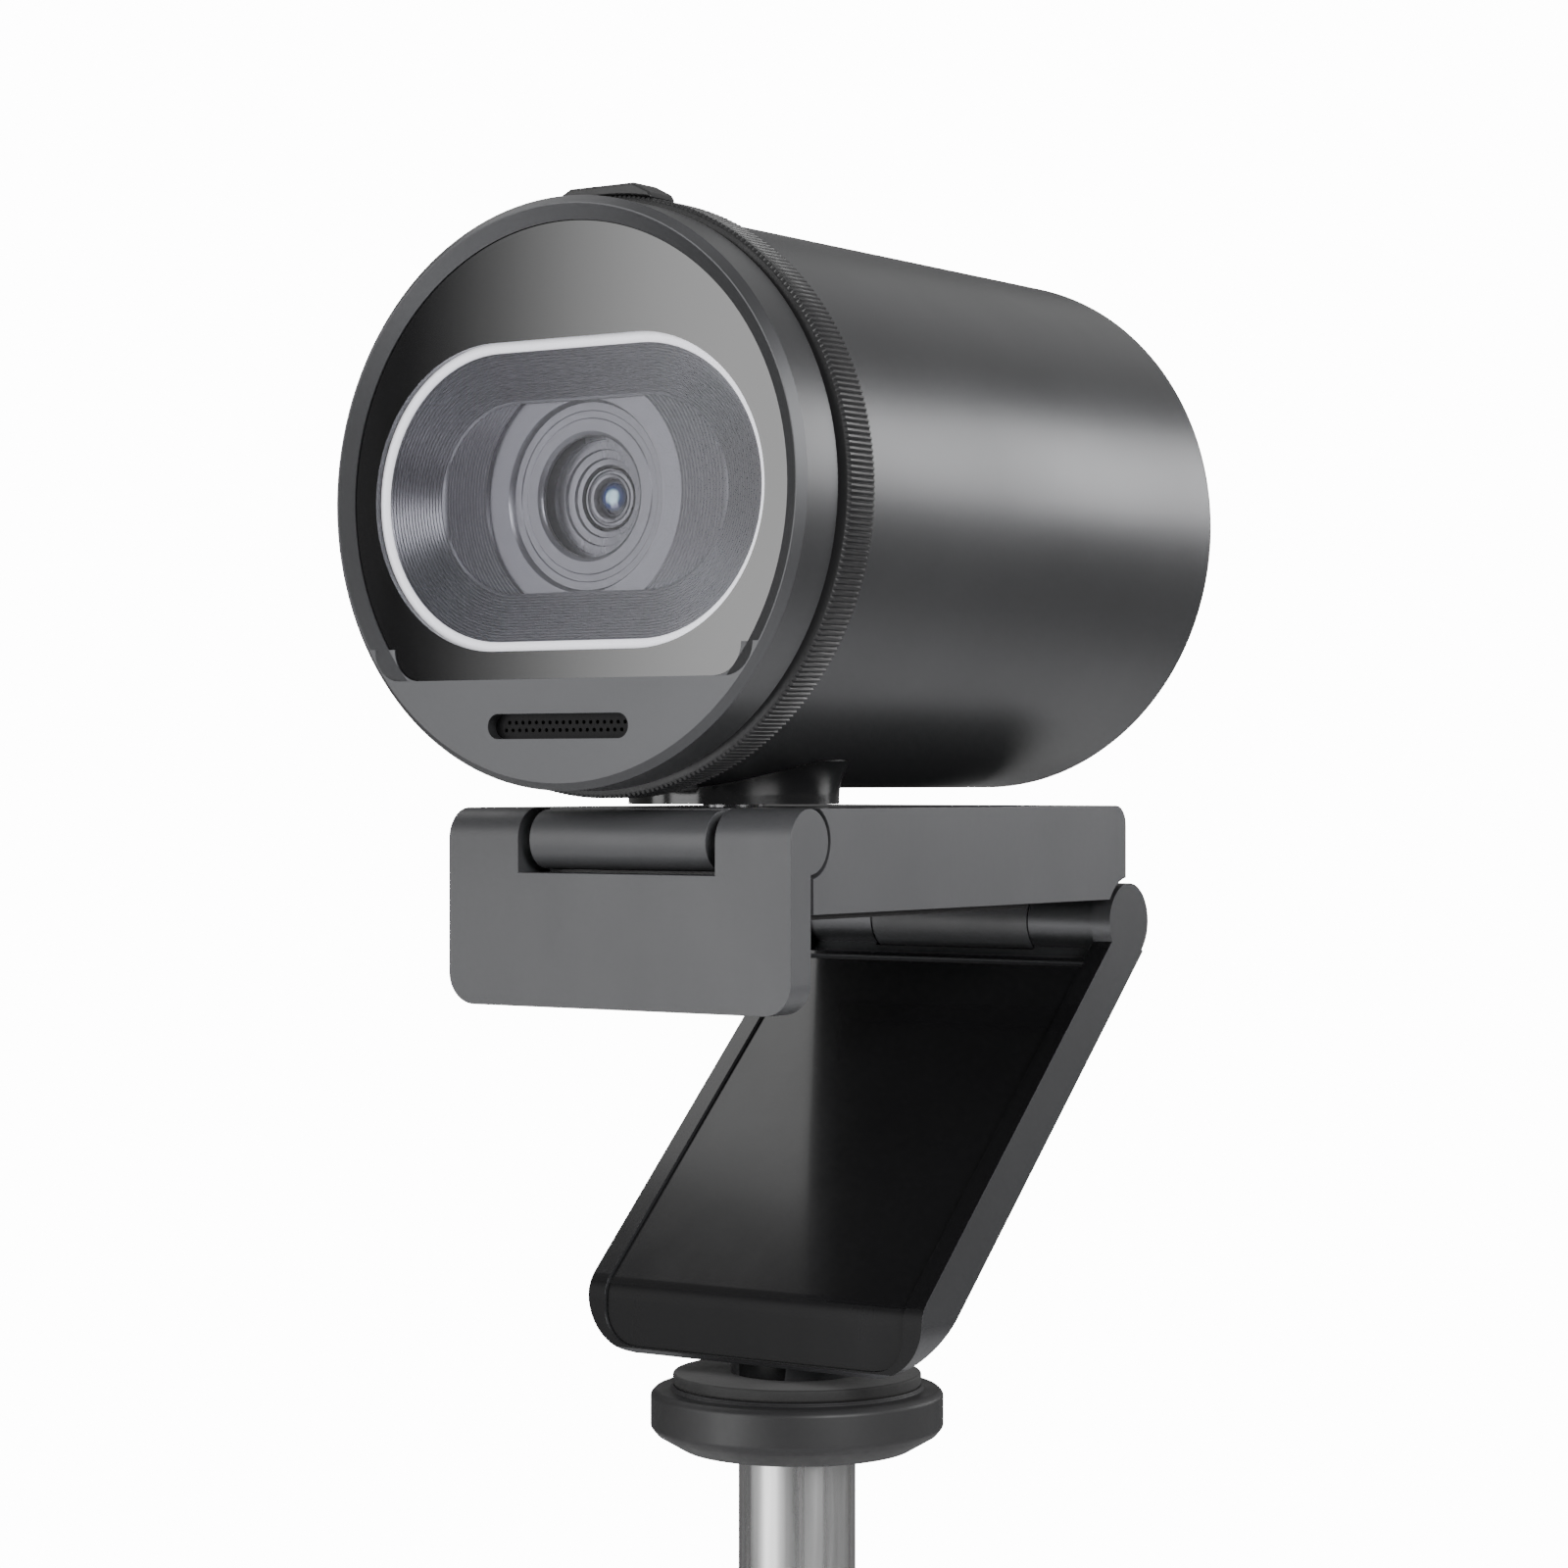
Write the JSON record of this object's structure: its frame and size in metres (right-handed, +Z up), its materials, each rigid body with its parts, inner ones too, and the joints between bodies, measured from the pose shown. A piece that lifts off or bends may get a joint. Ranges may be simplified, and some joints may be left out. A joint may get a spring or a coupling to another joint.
{
  "type": "webcam on tripod",
  "caption": "Cylindrical webcam with a folding monitor clip, screwed to an extending mini tripod with folding legs.",
  "frame": {"origin": "on the tripod's centre line, at the table surface", "axes": "+Z up along the tripod's column, -Y towards the person the lens faces, +X to that view's right"},
  "size_m": [0.1694, 0.1507, 0.4282],
  "materials": {
    "graphite_shell": "satin anodised dark grey",
    "matte_grey": "matte moulded plastic",
    "matte_black": "matte moulded plastic",
    "gloss_black": "polished black",
    "dark_glass": "polished tinted glass",
    "lens_glass": "coated lens glass",
    "bright_trim": "bright polished",
    "reflector_grey": "grooved grey plastic",
    "steel": "brushed",
    "tube_metal": "satin brushed tube",
    "brass": "turned",
    "board": "solder mask green",
    "shutter_red": "matte film",
    "rubber": "fine grained rubber"
  },
  "bodies": {
    "hub": {"hub_upper": "matte_black", "hub_lower": "matte_black", "leg_pins": "steel", "tube_low": "tube_metal", "low_collar": "matte_black"},
    "back_leg": {"leg_back": "matte_black", "bars_back": "steel", "foot_back": "rubber"},
    "left_leg": {"leg_left": "matte_black", "bars_left": "steel", "foot_left": "rubber"},
    "right_leg": {"leg_right": "matte_black", "bars_right": "steel", "foot_right": "rubber"},
    "column_mid": {"tube_mid": "tube_metal", "mid_collar": "matte_black"},
    "column_top": {"tube_top": "tube_metal", "top_disc": "matte_black", "disc_pad": "rubber", "stud": "steel"},
    "clip_base": {"clip_leg": "graphite_shell", "leg_panel": "gloss_black", "thread_bush": "brass"},
    "clip_arm": {"arm": "matte_grey", "arm_cover": "matte_black", "arm_pad": "rubber", "lip_pin": "steel", "rear_pin": "steel"},
    "lip": {"front_lip": "matte_grey", "lip_pad": "rubber"},
    "head": {"front_bezel": "graphite_shell", "front_glass": "dark_glass", "trim_ring": "bright_trim", "mic_mesh": "matte_black", "microphones": "steel", "lens_surround": "reflector_grey", "shutter_pin": "steel", "lens_housing": "matte_grey", "lens_barrel": "matte_black", "front_lens": "lens_glass", "rear_lens": "lens_glass", "image_sensor": "gloss_black", "sensor_board": "board", "board_posts": "brass", "main_board": "board", "board_screws": "steel", "heat_sink": "tube_metal", "inner_sleeve": "matte_black", "barrel_housing": "graphite_shell", "rear_cap": "matte_grey", "rear_screws": "steel", "usb_socket": "steel", "usb_tongue": "matte_black", "neck": "gloss_black", "swivel_post": "steel", "swivel_washer": "steel", "swivel_screw": "steel"},
    "privacy": {"privacy_ring": "matte_black", "privacy_tab": "matte_black"},
    "shutter": {"shutter_blade": "shutter_red"}
  },
  "joints": [
    {"name": "back_leg_fold", "type": "hinge", "parent": "hub", "child": "back_leg", "pos_m": [0, 0.011, 0.115], "axis": [-1, 0, 0], "range_deg": [0, 34]},
    {"name": "left_leg_fold", "type": "hinge", "parent": "hub", "child": "left_leg", "pos_m": [-0.00953, -0.0055, 0.115], "axis": [0.5, -0.866, 0], "range_deg": [0, 34]},
    {"name": "right_leg_fold", "type": "hinge", "parent": "hub", "child": "right_leg", "pos_m": [0.00953, -0.0055, 0.115], "axis": [0.5, 0.866, 0], "range_deg": [0, 34]},
    {"name": "mid_slide", "type": "slide", "parent": "hub", "child": "column_mid", "axis": [0, 0, 1], "range_m": [-0.05, 0]},
    {"name": "top_slide", "type": "slide", "parent": "column_mid", "child": "column_top", "axis": [0, 0, 1], "range_m": [-0.05, 0]},
    {"name": "webcam_swivel", "type": "hinge", "parent": "column_top", "child": "clip_base", "pos_m": [0, 0, 0.315], "axis": [0, 0, 1], "range_deg": [-170, 170]},
    {"name": "clip_fold", "type": "hinge", "parent": "clip_base", "child": "clip_arm", "pos_m": [0, 0.0316, 0.3589], "axis": [1, 0, 0], "range_deg": [-70, 30]},
    {"name": "lip_fold", "type": "hinge", "parent": "clip_arm", "child": "lip", "pos_m": [0, -0.0269, 0.3679], "axis": [1, 0, 0], "range_deg": [-90, 0]},
    {"name": "head_pan", "type": "hinge", "parent": "clip_arm", "child": "head", "pos_m": [0, -0.0108, 0.3709], "axis": [0, 0, 1], "range_deg": [-180, 180]},
    {"name": "ring_turn", "type": "hinge", "parent": "head", "child": "privacy", "pos_m": [0, -0.0301, 0.3995], "axis": [0, 1, 0], "range_deg": [0, 29]},
    {"name": "shutter_turn", "type": "hinge", "parent": "head", "child": "shutter", "pos_m": [0, -0.0325, 0.3875], "axis": [0, 1, 0], "range_deg": [-58, 0]}
  ],
  "couplings": [
    {"joint": "shutter_turn", "follows": "ring_turn", "ratio": -2}
  ]
}
